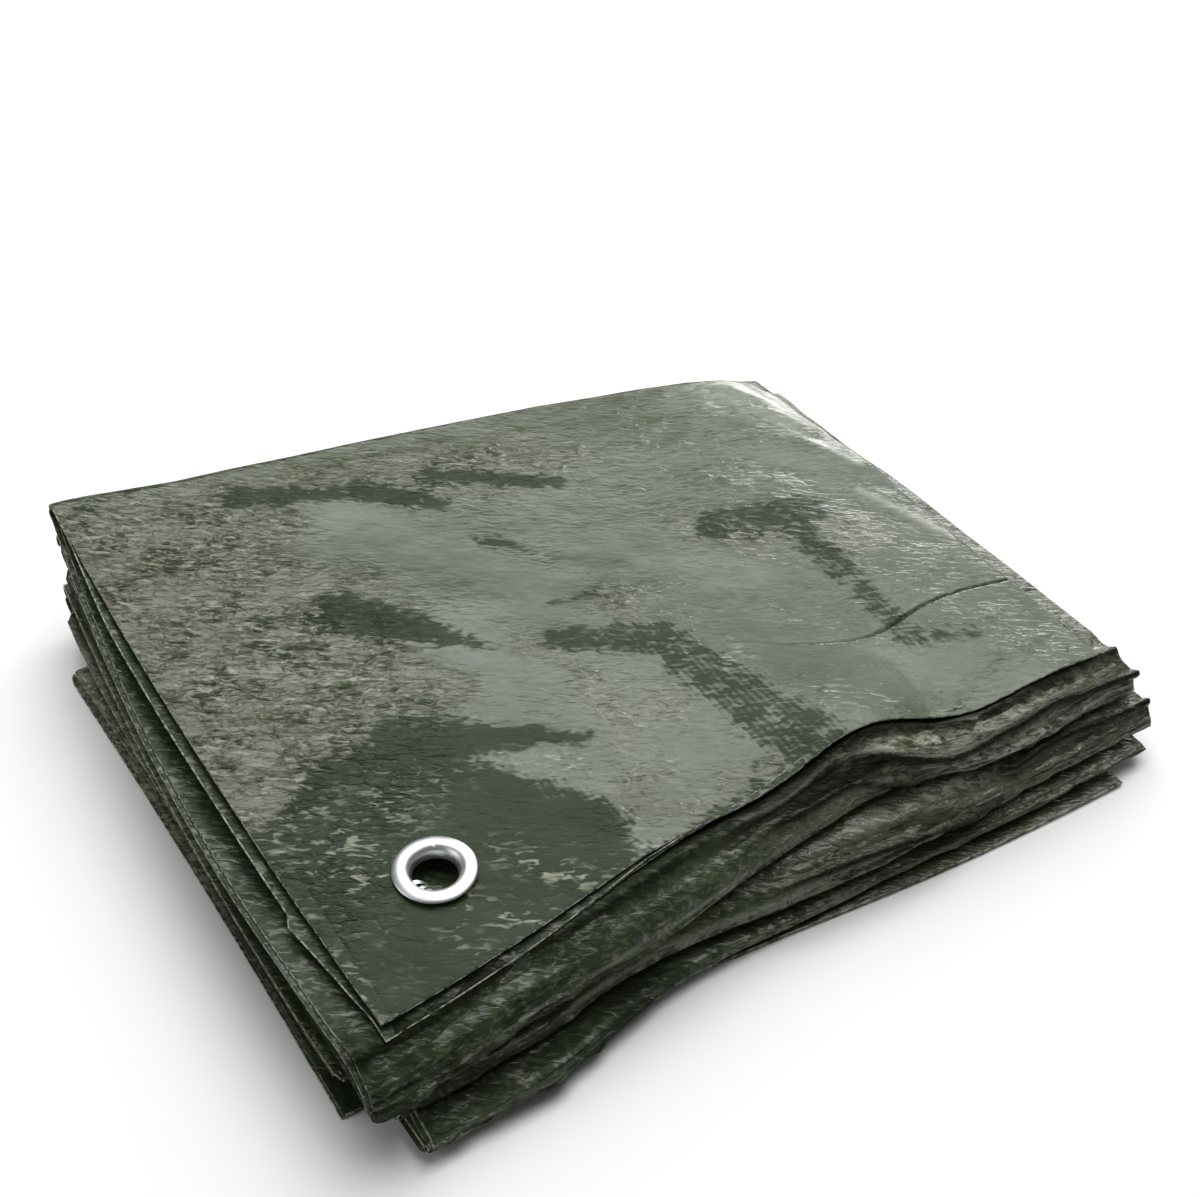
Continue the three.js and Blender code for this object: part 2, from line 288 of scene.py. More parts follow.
CREST_FULL, CREST_END = 0.45, 1.25


def ridge_height(x, y, start, end, left, right, height):
    """The height of one soft ridge, with a rounded crest that dies away at both ends."""
    start, end = np.array(start, float), np.array(end, float)
    half = np.linalg.norm(end - start) / 2
    way = (end - start) / (2 * half)
    centre = (start + end) / 2
    along = ((x - centre[0]) * way[0] + (y - centre[1]) * way[1]) / half
    across = (x - centre[0]) * way[1] - (y - centre[1]) * way[0]
    reach = np.where(across < 0, left, right)
    return height * bell(across / reach) * (1 - ease(np.abs(along), CREST_FULL, CREST_END))


RIDGE_DEPTH = 2.5


def ridges_height(x, y, level):
    """The height of all the ridges, which die away over a few levels."""
    return sum(ridge_height(x, y, *ridge) for ridge in RIDGES) * bell((level - 1) / RIDGE_DEPTH)


def smooth_noise(places, seed):
    """Noise from -1 to 1 at places given in its own lumps' size."""
    shift = Vector((31.7 * seed, 17.3 * seed, 9.1 * seed))
    return np.array([noise.noise(Vector(place) + shift) for place in places])


# Uneven cloth: the size of its lumps across, along and from level to level, and their height.
LUMPS = [(26, 26, 0.7, 0.4), (9, 8, 0.2, 0.24), (5, 4, 0.1, 0.1)]

# Places where the cloth is crushed below the top layer: x, y, reach, and how many times more uneven
# it is.
CRUSHED = [
    (-38, -46, 22, 8.0), (8, -56, 28, 8.0), (190, -38, 55, 4.0), (128, -36, 20, 1.5),
    (220, 120, 50, 1.0),
]

# Long creases that run across the strip on the front folds, where it is bent.
BEND_CREASES = {"size": 38, "levels": 0.28, "height": 0.7, "front": -16, "behind": 6}

# Sharp creases along the front folds: how many millimetres a unit of the strip's scale is there, the
# x where the crease starts and is full and where it begins to end and ends, its depth, and its line
# as x and place along the strip.
CREASES = [
    (18, (-60, -50, 232, 240), 2.0, [(-40, 3.0), (11, 3.0), (60, 3.02), (118, 2.99), (230, 3.02)]),
    (18, (55, 105, 232, 240), 3.8, [
        (60, 3.07), (86, 3.09), (104, 3.12), (118, 3.09), (125, 3.125), (134, 3.22), (144, 3.31),
        (154, 3.33), (164, 3.28), (173, 3.23), (193, 3.22), (206, 3.27), (228, 3.31),
    ]),
    (18, (78, 98, 138, 152), 2.8, [
        (80, 3.2), (91, 3.19), (105, 3.25), (117, 3.26), (122, 3.28), (131, 3.42), (139, 3.5),
        (150, 3.62),
    ]),
    (18, (150, 166, 232, 240), 3.4, [
        (150, 11.0), (158, 11.0), (167, 11.06), (175, 11.2), (188, 11.16), (199, 11.16),
        (210, 11.19), (230, 11.19),
    ]),
    (18, (76, 104, 150, 172), 2.8, [
        (76, 11.24), (100, 11.28), (116, 11.31), (135, 11.37), (151, 11.47), (170, 11.58),
    ]),
    (18, (-60, -50, 40, 80), 1.0, [(-40, 3.62), (0, 3.55), (40, 3.6), (80, 3.62)]),
    (7, (-60, -50, 30, 60), 1.6, [
        (-40, 19.3), (-22, 19.42), (-8, 19.28), (8, 19.46), (26, 19.34), (60, 19.4),
    ]),
    (7, (100, 130, 232, 240), 0.8, [(100, 19.4), (150, 19.3), (190, 19.44), (230, 19.3)]),
]

# A crease's section as bells across it: the height of each as a share of the crease's depth, how far
# past the crease its middle is, and its width. They are a proud lip, the crease, then a low swell.
CREASE_SECTION = [(0.45, -1.9, 1.3), (-1.0, 0.0, 0.9), (0.3, 2.1, 1.5)]

# The painted shade in a crease: the depth that gives it in full, the most of it, its middle and its width.
CREASE_SHADE = {"depth": 2.5, "most": 0.95, "middle": 0.3, "width": 1.1}


def by_crease(crease, along, x):
    """How far past a crease a place of the strip is, and how deep the crease is there."""
    unit, (start, full, ending, end), depth, line = crease
    line_x, line_along = np.array(line).T
    away = (along - np.interp(x, line_x, line_along)) * unit
    return away, depth * ease(x, start, full) * ease(x, end, ending)


def crease_height(along, x):
    """How far the creases move the strip in or out."""
    total = np.zeros_like(x)
    for crease in CREASES:
        away, depth = by_crease(crease, along, x)
        total += depth * sum(
            height * bell((away - middle) / width) for height, middle, width in CREASE_SECTION
        )
    return total


def crease_shade(along, x):
    """How much painted shade a crease gets, for the light it keeps out."""
    most = np.zeros_like(x)
    for crease in CREASES:
        away, depth = by_crease(crease, along, x)
        strength = np.clip(depth / CREASE_SHADE["depth"], 0, CREASE_SHADE["most"])
        shade = strength * bell((away - CREASE_SHADE["middle"]) / CREASE_SHADE["width"])
        most = np.maximum(most, shade)
    return most


# The eyelet's stretch of the top layer stays flat.
FLAT_RADIUS, FLAT_FADE = 13.0, 14.0

# The seam that ends the hem, as a line across the strip, taken at places on both sides of each x so that it
# bends softly. It is sharp at its right end and fades out towards the left, and the hem in front of it is a
# little higher. A line of painted shade lies along it.
SEAM_LINE = np.array([
    (100.0, 40.0), (118.7, 38.6), (140.0, 24.0), (153.4, 17.0), (167.3, 14.6), (182.3, 18.8),
    (196.6, 19.7), (219.8, 16.5), (240.0, 15.0),
])
SEAM_SMOOTHING = (-9, -5, -1, 1, 5, 9)
SEAM = {"faint": 110, "sharp": 190, "step": 0.35, "groove": 0.7, "width": 0.6, "shade_width": 0.7}

# Where the hem's step begins and ends, past the seam, and where it dies away to the front.
HEM_STEP = {"in_front": -0.8, "behind": 0.4, "gone": -30, "full": -10}

# A welded line along the sheet's edge, as a share of the ply's width.
WELD = {"across": 0.031, "width": 0.004, "depth": 0.18}


def seam_away(x, y):
    """How far behind the seam a place of the top face is."""
    seam_x, seam_y = SEAM_LINE.T
    line = sum(np.interp(x + step, seam_x, seam_y) for step in SEAM_SMOOTHING)
    return y - line / len(SEAM_SMOOTHING)


def seam_height(x, y):
    away = seam_away(x, y)
    on_hem = 1 - ease(away, HEM_STEP["in_front"], HEM_STEP["behind"])
    step = SEAM["step"] * on_hem * ease(y, HEM_STEP["gone"], HEM_STEP["full"])
    groove = SEAM["groove"] * bell(away / SEAM["width"])
    return ease(x, SEAM["faint"], SEAM["sharp"]) * (step - groove)


def flat_by_eyelet(x, y):
    return ease(np.hypot(x, y), FLAT_RADIUS, FLAT_RADIUS + FLAT_FADE)


def unevenness(x, y, level):
    """How far the strip stands off its plain folds, along its own upper side."""
    below_top = ease(level, 1, 2)
    times = 1 + below_top * sum(
        most * bell(np.hypot(x - middle_x, y - middle_y) / reach)
        for middle_x, middle_y, reach, most in CRUSHED
    )
    total = np.zeros_like(x)
    for seed, (size_x, size_y, levels, height) in enumerate(LUMPS):
        places = np.stack([x / size_x, y / size_y, level / levels], axis=-1)
        total += height * smooth_noise(places, seed) * (times if seed else 1)
    size = BEND_CREASES["size"]
    places = np.stack([x / size, y / size, level / BEND_CREASES["levels"]], axis=-1)
    bent = ease(y, BEND_CREASES["behind"], BEND_CREASES["front"]) * below_top
    total += BEND_CREASES["height"] * bent * smooth_noise(places, len(LUMPS))
    return total * np.where(level < 1.5, flat_by_eyelet(x, y), 1.0)


# The sheet's own scale across: ply number p covers 2p to 2p + 1, and the fold after it 2p + 1 to
# 2p + 2. A ply is in three stretches, parted where the shared columns begin and end.
EDGE_SHARE = 0.07
PLIES = len(PLY_HEIGHTS)

# Stretches of each run with its left edge set in, and the ones between them where it changes.
SET_IN_PLACES = np.ravel([(2 * run + 0.12, 2 * run + 0.88) for run in range(LAYERS)])
SET_IN_VALUES = np.repeat(SET_IN, 2)

# How unevenly the lower layers' plies end at the left: the most, and how it turns from run to run
# and from ply to ply.
PLY_UNEVEN = {"most": 0.9, "by_run": 2.4, "by_ply": 1.7}

# The top layer's lower plies show past its edges and hang below them: how far out, the inner ones'
# share of that, how far down, and over what width. Towards the front corner the second ply's edge
# has a small folded tip.
UNDER_PLY = {"out": 3.2, "inner": 0.6, "least": 0.4, "down": 2.4, "reach": 16, "back": 120}
TIP = {"y": 5.0, "out": 1.8, "corner": -33.0}

# The same plies' front ends, at places across, and where they hang towards the front corner.
FRONT_STEP = {"x": (-36, 20, 60, 100, 218), "out": (3.0, 2.4, 0.6, -2.2, -2.2)}
FRONT_HANG = {"share": 0.8, "behind": -18, "front": -34, "right": 90, "left": 30}

# How soon past the top ply, in plies, the lower ones stand out and hang in full.
UNDER_START = 0.35

# The cloth under the eyelet's hole is pushed down.
HOLLOW = {"reach": 13, "depth": 4.5, "levels": 5}


def edge_step(ply, run, y):
    """How far left a ply's left edge or fold stands past the run's own edge."""
    uneven = PLY_UNEVEN["most"] * np.sin(PLY_UNEVEN["by_run"] * run + PLY_UNEVEN["by_ply"] * ply)
    behind_tip = UNDER_PLY["out"] * ease(y, PANEL_BACK, UNDER_PLY["back"])
    by_tip = mix(0.0, UNDER_PLY["out"] + TIP["out"], share(y, TIP["corner"], TIP["y"]))
    under = np.maximum(np.where(y > TIP["y"], behind_tip, by_tip), UNDER_PLY["least"])
    top = np.where(ply == PLIES - 1, under, np.where(ply == 0, 0.0, UNDER_PLY["inner"] * under))
    return np.where(run == 0, top, uneven)


def across_sheet(along, across):
    """The x of a point of the sheet, its height on the strip's middle surface, and its ply."""
    part = np.minimum(np.floor(across), 2 * PLIES - 2).astype(int)
    ply = part // 2
    in_fold = part % 2 == 1
    t = across - part
    outwards = ply % 2 == 0
    u = np.where(outwards, t, 1 - t)
    y_left, _, run = along_strip(along, np.full_like(along, PANEL_LEFT))
    y_right, _, _ = along_strip(along, np.full_like(along, PANEL_RIGHT))
    left = side_edges(run, y_left)[0] + np.interp(along, SET_IN_PLACES, SET_IN_VALUES)
    right = side_edges(run, y_right)[1] - PLY_HEIGHTS.max()
    after = np.minimum(ply + 1, PLIES - 1)
    own_step, next_step = edge_step(ply, run, y_left), edge_step(after, run, y_left)
    left = left - np.where(in_fold & ~outwards, mix(own_step, next_step, t), own_step)
    x_ply = np.where(
        u < EDGE_SHARE,
        mix(left, FIRST_COLUMN, u / EDGE_SHARE),
        np.where(
            u > 1 - EDGE_SHARE,
            mix(right, LAST_COLUMN, (1 - u) / EDGE_SHARE),
            mix(FIRST_COLUMN, LAST_COLUMN, share(u, EDGE_SHARE, 1 - EDGE_SHARE)),
        ),
    )
    halfway = (PLY_HEIGHTS[ply] + PLY_HEIGHTS[after]) / 2
    swing = (PLY_HEIGHTS[ply] - PLY_HEIGHTS[after]) / 2
    bulge = np.abs(swing) * np.sin(np.pi * t)
    x = np.where(in_fold, np.where(outwards, right + bulge, left - bulge), x_ply)
    height = np.where(in_fold, halfway + swing * np.cos(np.pi * t), PLY_HEIGHTS[ply])
    return x, height, ply + np.where(in_fold, t, 0.0)


ALONG_STEP, X_STEP = 0.004, 0.5
END_ALONG = 2.0 * LAYERS - 1


def folded(along, across):
    """The places in the pack of points of the flat sheet."""
    x, height, ply = across_sheet(along, across)
    under = 1 - bell(ply / UNDER_START)
    front_step = -under * np.interp(x, FRONT_STEP["x"], FRONT_STEP["out"])
    before, after = np.maximum(along - ALONG_STEP, 0), np.minimum(along + ALONG_STEP, END_ALONG)
    across_way = strip_middle(along, x + X_STEP, front_step) - strip_middle(along, x - X_STEP, front_step)
    along_way = strip_middle(after, x, front_step) - strip_middle(before, x, front_step)
    normal = np.cross(across_way, along_way)
    normal /= np.linalg.norm(normal, axis=-1, keepdims=True)
    y, level, run = along_strip(along, x, front_step)
    off = height + unevenness(x, y, level) + crease_height(along, x)
    points = strip_middle(along, x, front_step) + normal * off[:, None]
    near_left = bell((x - EDGE_LEFT[0]) / UNDER_PLY["reach"]) * ease(y, PANEL_BACK, UNDER_PLY["back"])
    near_front = FRONT_HANG["share"] * ease(y, FRONT_HANG["behind"], FRONT_HANG["front"])
    near_front = near_front * ease(x, FRONT_HANG["right"], FRONT_HANG["left"])
    hang = UNDER_PLY["down"] * under * np.maximum(near_left, near_front)
    hollow = HOLLOW["depth"] * bell(np.hypot(x, y) / HOLLOW["reach"])
    hollow = hollow * np.clip(1 - (level - 2) / HOLLOW["levels"], 0, 1)
    points[:, 2] += ridges_height(x, y, level) * flat_by_eyelet(x, y)
    weld = WELD["depth"] * bell((across - WELD["across"]) / WELD["width"])
    points[:, 2] += np.where((run == 0) & (ply == 0), seam_height(x, y) - weld, 0)
    points[:, 2] -= np.where(run == 0, hang * flat_by_eyelet(x, y), hollow)
    return points


# The looks of the top face: stretches from one place to another, with the half width at each end and how
# much of the look they have. Clear: the coating lies smooth on the tapes and shows the dark green under it;
# the pale painted sheen and most of the gloss are left out there.
CLEAR = [
    ((22, 104), (56, 67), 9, 1, 1.0),
    ((14, 47), (62, 21), 10, 1, 1.0),
    ((17, 172), (48, 159), 5, 3.5, 0.95),
    ((55, 158), (76, 140), 5, 3.5, 1.0),
    ((81, 156), (116, 133), 4, 3, 0.95),
    ((79, 116), (90, 106), 2, 1, 1.0),
    ((152, 87), (184, 79), 7, 7, 0.85),
    ((174, 72), (173, 18), 6, 4, 0.7),
    ((171, 11), (189, 1), 5, 4, 0.5),
    ((82, 77), (100, 75), 2, 1, 0.8),
    ((77, 61), (104, 47), 5, 7, 0.85),
    ((106, 42), (116, -16), 7, 11, 0.72),
    ((-2, 14), (26, -12), 36, 28, 0.9),
    ((-30, 24), (-36, -36), 14, 14, 0.72),
    ((-20, -14), (44, -34), 24, 16, 0.9),
    ((54, -30), (100, -20), 5, 4, 0.65),
]
CLEAR_EDGE = 3.0

# Crazed: the coating is covered in small creases.
CRAZED = [
    ((-20, 150), (0, 40), 44, 24, 0.9),
    ((0, 165), (120, 150), 26, 14, 0.75),
    ((20, 100), (34, 60), 22, 12, 0.95),
    ((150, 82), (190, 60), 16, 12, 0.7),
    ((-8, 26), (10, 14), 14, 8, 0.4),
    ((66, 66), (82, 20), 8, 16, 0.45),
    ((74, 108), (100, 66), 14, 12, 0.5),
    ((60, -10), (100, -26), 14, 8, 0.55),
    ((-34, 70), (-24, 0), 20, 16, 0.8),
    ((190, 10), (214, -14), 12, 10, 0.25),
]
CRAZED_EDGE, CRAZED_LEAST = 14.0, 0.2

# Smooth: the coating has no small creases.
SMOOTH = [
    ((42, 148), (82, 84), 12, 14, 0.95),
    ((36, 76), (62, 50), 6, 8, 0.9),
    ((128, 34), (150, -4), 14, 16, 0.9),
    ((106, 100), (148, 62), 12, 12, 0.7),
]
SMOOTH_EDGE = 10.0

# Flecked: the coating is whitened in short dashes, partly the film's own whitening and partly painted
# glints.
FLECKED = [
    ((-30, 40), (-14, 8), 14, 10, 0.75),
    ((-8, 30), (8, 20), 10, 6, 0.6),
    ((6, 27), (36, 28), 2.5, 2, 1.0),
    ((36, 28), (56, 12), 2, 3, 0.8),
    ((-4, -4), (6, -17), 3, 4, 0.9),
    ((20, -4), (34, -22), 5, 4, 1.0),
    ((8, -20), (22, -34), 4, 5, 1.0),
    ((-6, -16), (-2, -34), 3, 4, 0.8),
    ((36, -24), (60, -24), 3, 3, 0.9),
    ((-36, -8), (-34, -34), 2, 3, 0.9),
    ((14, 60), (40, 44), 8, 4, 0.4),
    ((8, 104), (16, 72), 12, 8, 0.6),
    ((84, 58), (118, 30), 4, 8, 0.5),
]
FLECKED_EDGE, FLECKED_WHERE_CRAZED = 5.0, 0.6

# Ribbed: the tapes that run along the strip show as fine lines.
RIBBED = [
    ((104, 50), (118, -24), 12, 16, 1.0),
    ((52, 10), (60, -26), 12, 12, 0.8),
    ((150, 30), (170, -16), 14, 14, 0.5),
    ((176, 70), (176, 10), 8, 12, 0.6),
]
RIBBED_EDGE = 8.0

# Painted highlights: pale streaks painted all over the coating along the pack's pressed back right edge,
# where its drape catches the light.
PAINTED_HIGHLIGHTS = [
    ((190, 160), (212, 120), 9.0, 8.0, 0.1),
    ((194, 162), (214, 122), 6.0, 6.0, 0.2),
    ((190, 167), (208, 156), 1.0, 4.0, 0.5),
    ((208, 156), (214, 134), 3.0, 1.5, 0.75),
    ((216, 146), (222, 96), 2.5, 1.0, 0.55),
    ((206, 126), (216, 92), 0.6, 1.2, 0.6),
    ((207, 80), (220, 44), 0.5, 1.3, 0.6),
    ((221, 90), (222, 48), 1.0, 1.0, 0.4),
]
PAINTED_HIGHLIGHT_EDGE = 2.2


def look(stretches, edge, x, y):
    """How much of one look the top face has at each place, from 0 to 1."""
    most = np.zeros_like(x)
    for start, end, start_half, end_half, amount in stretches:
        start, way = np.array(start, float), np.subtract(end, start).astype(float)
        t = np.clip(((x - start[0]) * way[0] + (y - start[1]) * way[1]) / way.dot(way), 0, 1)
        away = np.hypot(x - start[0] - t * way[0], y - start[1] - t * way[1])
        inside = mix(start_half, end_half, t) - away
        most = np.maximum(most, amount * ease(inside, -edge, edge))
    return most


# Lines where the front folds are pale, partly rubbed and partly painted highlights and sheen on their
# crests: place along the strip, half width, x where the line is strongest, its reach to either side, and
# its amount.
PALE_FOLD_LINES = [
    (3.46, 0.035, 0, 70, 0.9),
    (11.4, 0.04, 60, 70, 0.5),
    (19.5, 0.25, -25, 32, 0.6),
    (3.13, 0.11, 175, 62, 0.85),
    (3.45, 0.07, 200, 45, 0.9),
    (3.38, 0.09, 160, 45, 0.7),
    (11.05, 0.09, 175, 60, 0.9),
    (11.3, 0.05, 200, 45, 0.8),
]


def pale_fold_lines(along, x):
    return sum(
        amount * bell((along - place) / width) * bell((x - centre) / reach)
        for place, width, centre, reach, amount in PALE_FOLD_LINES
    )


# The lower layers are clear, without painted sheen, at the eyelet's end, and carry more painted sheen at
# the other.
LOWER_CLEAR, LOWER_PAINTED_SHEEN = 0.64, -0.05
LOWER_CRAZED_LEFT, LOWER_CRAZED_RIGHT, LOWER_FLECKED = 0.3, 0.6, 0.14
SHEEN_START, SHEEN_FULL = 40, 130
# Pale strips in the plies' folds at the sheet's side edges, partly wear and partly painted edge highlights.
EDGE_PALE, EDGE_PALE_START = 0.8, 0.05

# The lower layers' left edges are painted pale, as a painted highlight, where they show behind the eyelet's
# corner, from that place along the strip.
PALE_SIDE = {"first": 3, "edge": -47, "inside": -43, "front": 20, "back": 70, "amount": 0.6}


def all_looks(along, across, points):
    """Every look of the sheet at its points. Worn: the coating is pale along a fold, partly from wear and
    partly as painted highlights on the fold crests and edges.
    """
    x, y, _ = points.T
    top = (along < 1) & (across < 1)
    to_right = ease(x, SHEEN_START, SHEEN_FULL)
    in_fold = (np.floor(across).astype(int) % 2 == 1) & (across % 1 > EDGE_PALE_START)
    smooth = look(SMOOTH, SMOOTH_EDGE, x, y)
    crazed = np.maximum(look(CRAZED, CRAZED_EDGE, x, y), CRAZED_LEAST) * (1 - smooth)
    clear = look(CLEAR, CLEAR_EDGE, x, y)
    crazed_flecks = FLECKED_WHERE_CRAZED * crazed * (1 - clear)
    flecked = np.maximum(look(FLECKED, FLECKED_EDGE, x, y), crazed_flecks)
    # painted shade along the seam's groove
    seam = bell(seam_away(x, y) / SEAM["shade_width"]) * ease(x, SEAM["faint"], SEAM["sharp"])
    by_side = ease(x, PALE_SIDE["inside"], PALE_SIDE["edge"])
    by_side = by_side * ease(y, PALE_SIDE["front"], PALE_SIDE["back"])
    pale = np.where(along > PALE_SIDE["first"], PALE_SIDE["amount"] * by_side, 0.0)
    wear_and_painted_highlight = np.maximum(np.where(in_fold, EDGE_PALE, 0.0), pale)
    lower_crazed = mix(LOWER_CRAZED_LEFT, LOWER_CRAZED_RIGHT, to_right)
    return {
        "clear": np.where(top, clear, mix(LOWER_CLEAR, LOWER_PAINTED_SHEEN, to_right)),
        "painted_groove_shade": np.where(top, seam, crease_shade(along, x)),
        "flecked": np.where(top, flecked, LOWER_FLECKED),
        "crazed": np.where(top, crazed, lower_crazed),
        "ribbed": np.where(top, look(RIBBED, RIBBED_EDGE, x, y), 0.0),
        "painted_highlight": np.where(top, look(PAINTED_HIGHLIGHTS, PAINTED_HIGHLIGHT_EDGE, x, y), 0.0),
        "wear_and_painted_highlight": np.maximum(wear_and_painted_highlight, pale_fold_lines(along, x)),
    }


# The flat sheet's own grid: places along each run and each fold, and across each ply and each fold.
RUN_STEPS = np.concatenate([
    np.linspace(0, FRONT_SHARE, 5, endpoint=False),
    np.linspace(FRONT_SHARE, BACK_SHARE, 10, endpoint=False),
    np.linspace(BACK_SHARE, 1, 4, endpoint=False),
])
PLY_STEPS = np.array([
    0, 0.004, 0.012, 0.035, 0.07, 0.12, 0.18, 0.25, 0.33, 0.41, 0.5, 0.59, 0.67, 0.75, 0.82, 0.88,
    0.93, 0.97,
])
FOLD_STEPS = np.linspace(0, 1, 8, endpoint=False)
PLY_FOLD_STEPS = np.linspace(0, 1, 5, endpoint=False)


def scale_places(count, steps, fold_steps):
    """Places along a scale of runs or plies with a fold after each. Every second one runs back."""
    places = []
    for number in range(count):
        own = np.append(steps, 1.0)
        places.extend(2 * number + (own if number % 2 == 0 else 1 - own))
        if number < count - 1:
            places.extend(2 * number + 1 + fold_steps)
    return np.unique(np.round(places, 6))


def flat_grid():
    """The flat sheet as faces in its own two scales."""
    grid = bmesh.new()
    across = scale_places(PLIES, PLY_STEPS, PLY_FOLD_STEPS)
    rows = [
        [grid.verts.new((along, place, 0)) for place in across]
        for along in scale_places(LAYERS, RUN_STEPS, FOLD_STEPS)
    ]
    for row, next_row in zip(rows, rows[1:]):
        for corners in zip(row, row[1:], next_row[1:], next_row):
            grid.faces.new(corners)
    return grid


# Stretches of the sheet that show from above or in front, and those round the eyelet: where along
# and across they are, and how often their faces are cut.
FINE_STRETCHES = [
    ((0.0, 1.0), (0.0, 1.0), 8),
    ((0.0, 1.0), (6.0, 7.0), 3),
    ((0.16, 0.32), (2.75, 2.91), 8),
    ((0.16, 0.32), (4.09, 4.25), 8),
    ((0.16, 0.32), (6.75, 6.91), 2),
    ((2.8, 4.2), (2.0, 3.0), 3),
    ((10.8, 12.2), (2.0, 3.0), 3),
    ((18.8, 20.2), (2.0, 3.0), 2),
    ((22.8, 23.0), (2.0, 3.0), 2),
    ((19.0, 20.0), (2.72, 3.0), 2),
    ((2.95, 4.0), (2.0, 2.35), 1),
    ((10.95, 12.0), (2.0, 2.35), 1),
]
SEAM_CUTS, SEAM_BAND = 2, 3.0


def cut_faces(grid, chosen, cuts):
    edges = set()
    for face, is_chosen in zip(grid.faces, chosen):
        if is_chosen:
            edges.update(face.edges)
    bmesh.ops.subdivide_edges(grid, edges=list(edges), cuts=cuts, use_grid_fill=True)


def face_places(grid):
    return np.array([face.calc_center_median() for face in grid.faces]).T


def refine(grid):
    """Cuts the faces of the stretches that show, and of the seam, into smaller ones."""
    for (first, last), (near, far), cuts in FINE_STRETCHES:
        along, across, _ = face_places(grid)
        cut_faces(grid, (first < along) & (along < last) & (near < across) & (across < far), cuts)
    along, across, _ = face_places(grid)
    x, y, _ = folded(along, across).T
    by_seam = (np.abs(seam_away(x, y)) < SEAM_BAND) & (x > SEAM["faint"])
    cut_faces(grid, by_seam & (along < 1) & (across < 1), SEAM_CUTS)


def flat_places(grid):
    flat = np.array([vertex.co for vertex in grid.verts])
    return flat[:, 0], flat[:, 1]


# The sheet's hole, hidden under the eyelet's flange.
HOLE_RADIUS = 8.3


def by_hole(vertex):
    return math.hypot(vertex.co.x, vertex.co.y) < 1.5 * HOLE_RADIUS


def cut_hole(grid):
    """Takes away the top layer's points inside the hole."""
    along, across = flat_places(grid)
    points = folded(along, across)
    inside = (np.hypot(points[:, 0], points[:, 1]) < HOLE_RADIUS) & (along < 1)
    verts = [vertex for vertex, is_inside in zip(grid.verts, inside) if is_inside]
    bmesh.ops.delete(grid, geom=verts, context="VERTS")
    grid.verts.index_update()


def round_hole(grid, points):
    """Moves the points at the hole's edge onto its circle."""
    for vertex in grid.verts:
        radius = math.hypot(points[vertex.index, 0], points[vertex.index, 1])
        if vertex.is_boundary and vertex.co.x < 1 and radius < 2 * HOLE_RADIUS:
            points[vertex.index, :2] *= HOLE_RADIUS / radius


# The sheet's cut edges are turned under in a small roll.
ROLL_RADIUS = 0.28
ROLL_TURNS = np.radians((50, 100, 150, 200))


def edge_roll(grid):
    """The points and faces of a small roll along the sheet's free edges, but not in its hole."""
    outwards = {}
    free = [edge for edge in grid.edges if edge.is_boundary and not by_hole(edge.verts[0])]
    for edge in free:
        loop = edge.link_loops[0]
        way = (loop.link_loop_next.vert.co - loop.vert.co).normalized()
        for vertex in (loop.vert, loop.link_loop_next.vert):
            outwards[vertex] = outwards.get(vertex, Vector()) + way.cross(loop.face.normal)
    steps = len(ROLL_TURNS)
    first = {vertex: len(grid.verts) + index * steps for index, vertex in enumerate(outwards)}
    points = [
        vertex.co + ROLL_RADIUS * (math.sin(turn) * out.normalized() - (1 - math.cos(turn)) * vertex.normal)
        for vertex, out in outwards.items() for turn in ROLL_TURNS
    ]
    faces = []
    for edge in free:
        loop = edge.link_loops[0]
        start, end = loop.vert, loop.link_loop_next.vert
        starts = [start.index] + [first[start] + step for step in range(steps)]
        ends = [end.index] + [first[end] + step for step in range(steps)]
        faces.extend(zip(ends, starts, starts[1:], ends[1:]))
    sources = [vertex.index for vertex in outwards for _ in ROLL_TURNS]
    return np.array(points), faces, sources


def add_piece(name, points, faces):
    """A new object of those points and faces."""
    data = bpy.data.meshes.new(name)
    data.from_pydata(points, [], faces)
    data.shade_smooth()
    piece = bpy.data.objects.new(name, data)
    bpy.context.scene.collection.objects.link(piece)
    return piece


def build_sheet(shift):
    """The folded sheet, with a value of each look at every point for its material to read."""
    grid = flat_grid()
    refine(grid)
    cut_hole(grid)
    along, across = flat_places(grid)
    points = folded(along, across)
    round_hole(grid, points)
    for vertex, point in zip(grid.verts, points):
        vertex.co = point
    grid.normal_update()
    faces = [[vertex.index for vertex in face.verts] for face in grid.faces]
    roll, roll_faces, sources = edge_roll(grid)
    grid.free()
    looks = all_looks(along, across, points)
    placed = (np.concatenate([points, roll]) + shift) * MM
    piece = add_piece("groundsheet_cloth", placed.tolist(), faces + roll_faces)
    for name, values in looks.items():
        values = np.append(values, values[sources])
        # the edge rolls are pale all round, partly wear and partly painted edge highlights
        if name == "wear_and_painted_highlight":
            values[len(points):] = 1.0
        layer = piece.data.attributes.new(name, "FLOAT", "POINT")
        layer.data.foreach_set("value", values.astype(np.float32))
    return piece


def linear(hex_colour):
    """A colour written as sRGB hex, in the linear values that shaders take."""
    parts = [int(hex_colour[index:index + 2], 16) / 255 for index in (0, 2, 4)]
    return (*(part / 12.92 if part <= 0.04045 else ((part + 0.055) / 1.055) ** 2.4 for part in parts), 1.0)


def add_node(tree, kind, inputs=(), out=0, **settings):
    """Adds a shader node with its settings and a value or link for each input, and gives an output."""
    node = tree.nodes.new("ShaderNode" + kind)
    for name, value in settings.items():
        setattr(node, name, value)
    for name, value in inputs.items() if isinstance(inputs, dict) else enumerate(inputs):
        if isinstance(value, bpy.types.NodeSocket):
            tree.links.new(value, node.inputs[name])
        else:
            node.inputs[name].default_value = value
    return node.outputs[out]


def new_material(name):
    material = bpy.data.materials.new(name)
    material.use_nodes = True
    return material, material.node_tree, material.node_tree.nodes["Principled BSDF"]
